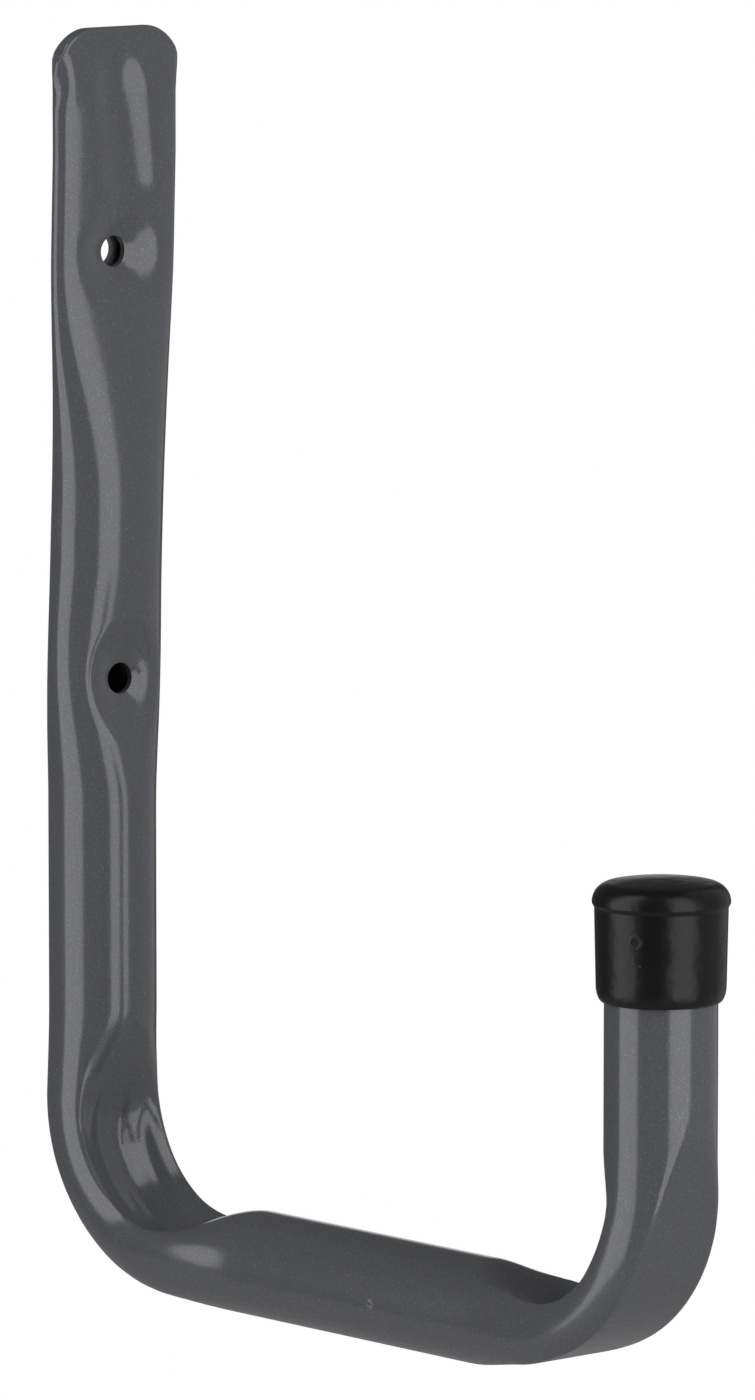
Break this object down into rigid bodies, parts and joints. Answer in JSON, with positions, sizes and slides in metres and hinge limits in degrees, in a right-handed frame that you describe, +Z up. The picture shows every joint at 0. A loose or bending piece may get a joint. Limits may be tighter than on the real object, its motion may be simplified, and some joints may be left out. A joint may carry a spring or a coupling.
{
  "type": "garage utility hook",
  "caption": "Wall hook of bent grey steel tube: a flattened leg with screw holes, a level arm and a short upright under a black push-on cap.",
  "frame": {"origin": "on the leg's axis, midway between the screw holes", "axes": "+Z up along the leg, -Y forward along the arm, away from the wall, X across the tube"},
  "size_m": [0.0276, 0.1653, 0.2227],
  "materials": {
    "tube_paint": "semi-gloss graphite grey powder coat",
    "cap_vinyl": "satin black soft plastic"
  },
  "bodies": {
    "root": {"hook_tube": "tube_paint", "end_cap": "cap_vinyl"}
  },
  "joints": []
}
